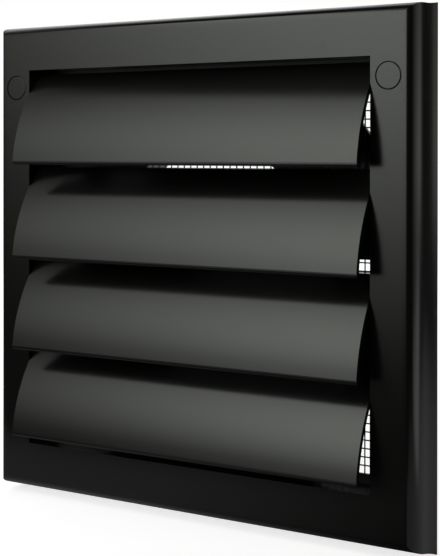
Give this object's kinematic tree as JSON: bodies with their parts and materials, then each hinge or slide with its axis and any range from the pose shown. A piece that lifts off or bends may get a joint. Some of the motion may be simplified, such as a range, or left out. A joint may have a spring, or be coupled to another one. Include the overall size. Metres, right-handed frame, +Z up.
{
  "type": "louvred vent cover",
  "caption": "Square black plastic vent cover with curved fixed louvre blades, insect mesh and a round duct spigot behind, flush caps over its screws.",
  "frame": {"origin": "where the duct spigot's axis meets the wall plane, at the middle of the cover's back", "axes": "+X to the right seen from in front, +Y into the wall along the duct's axis, +Z up"},
  "size_m": [0.19, 0.0396, 0.193],
  "materials": {
    "moulded_plastic": "black, satin to gloss, moulded",
    "mesh_plastic": "black, plain",
    "spigot_plastic": "black, satin, moulded",
    "cap_plastic": "black, satin to gloss, moulded"
  },
  "bodies": {
    "root": {"body": "moulded_plastic", "insect_mesh": "mesh_plastic", "duct_spigot": "spigot_plastic", "screw_cap_left": "cap_plastic", "screw_cap_right": "cap_plastic"}
  },
  "joints": []
}
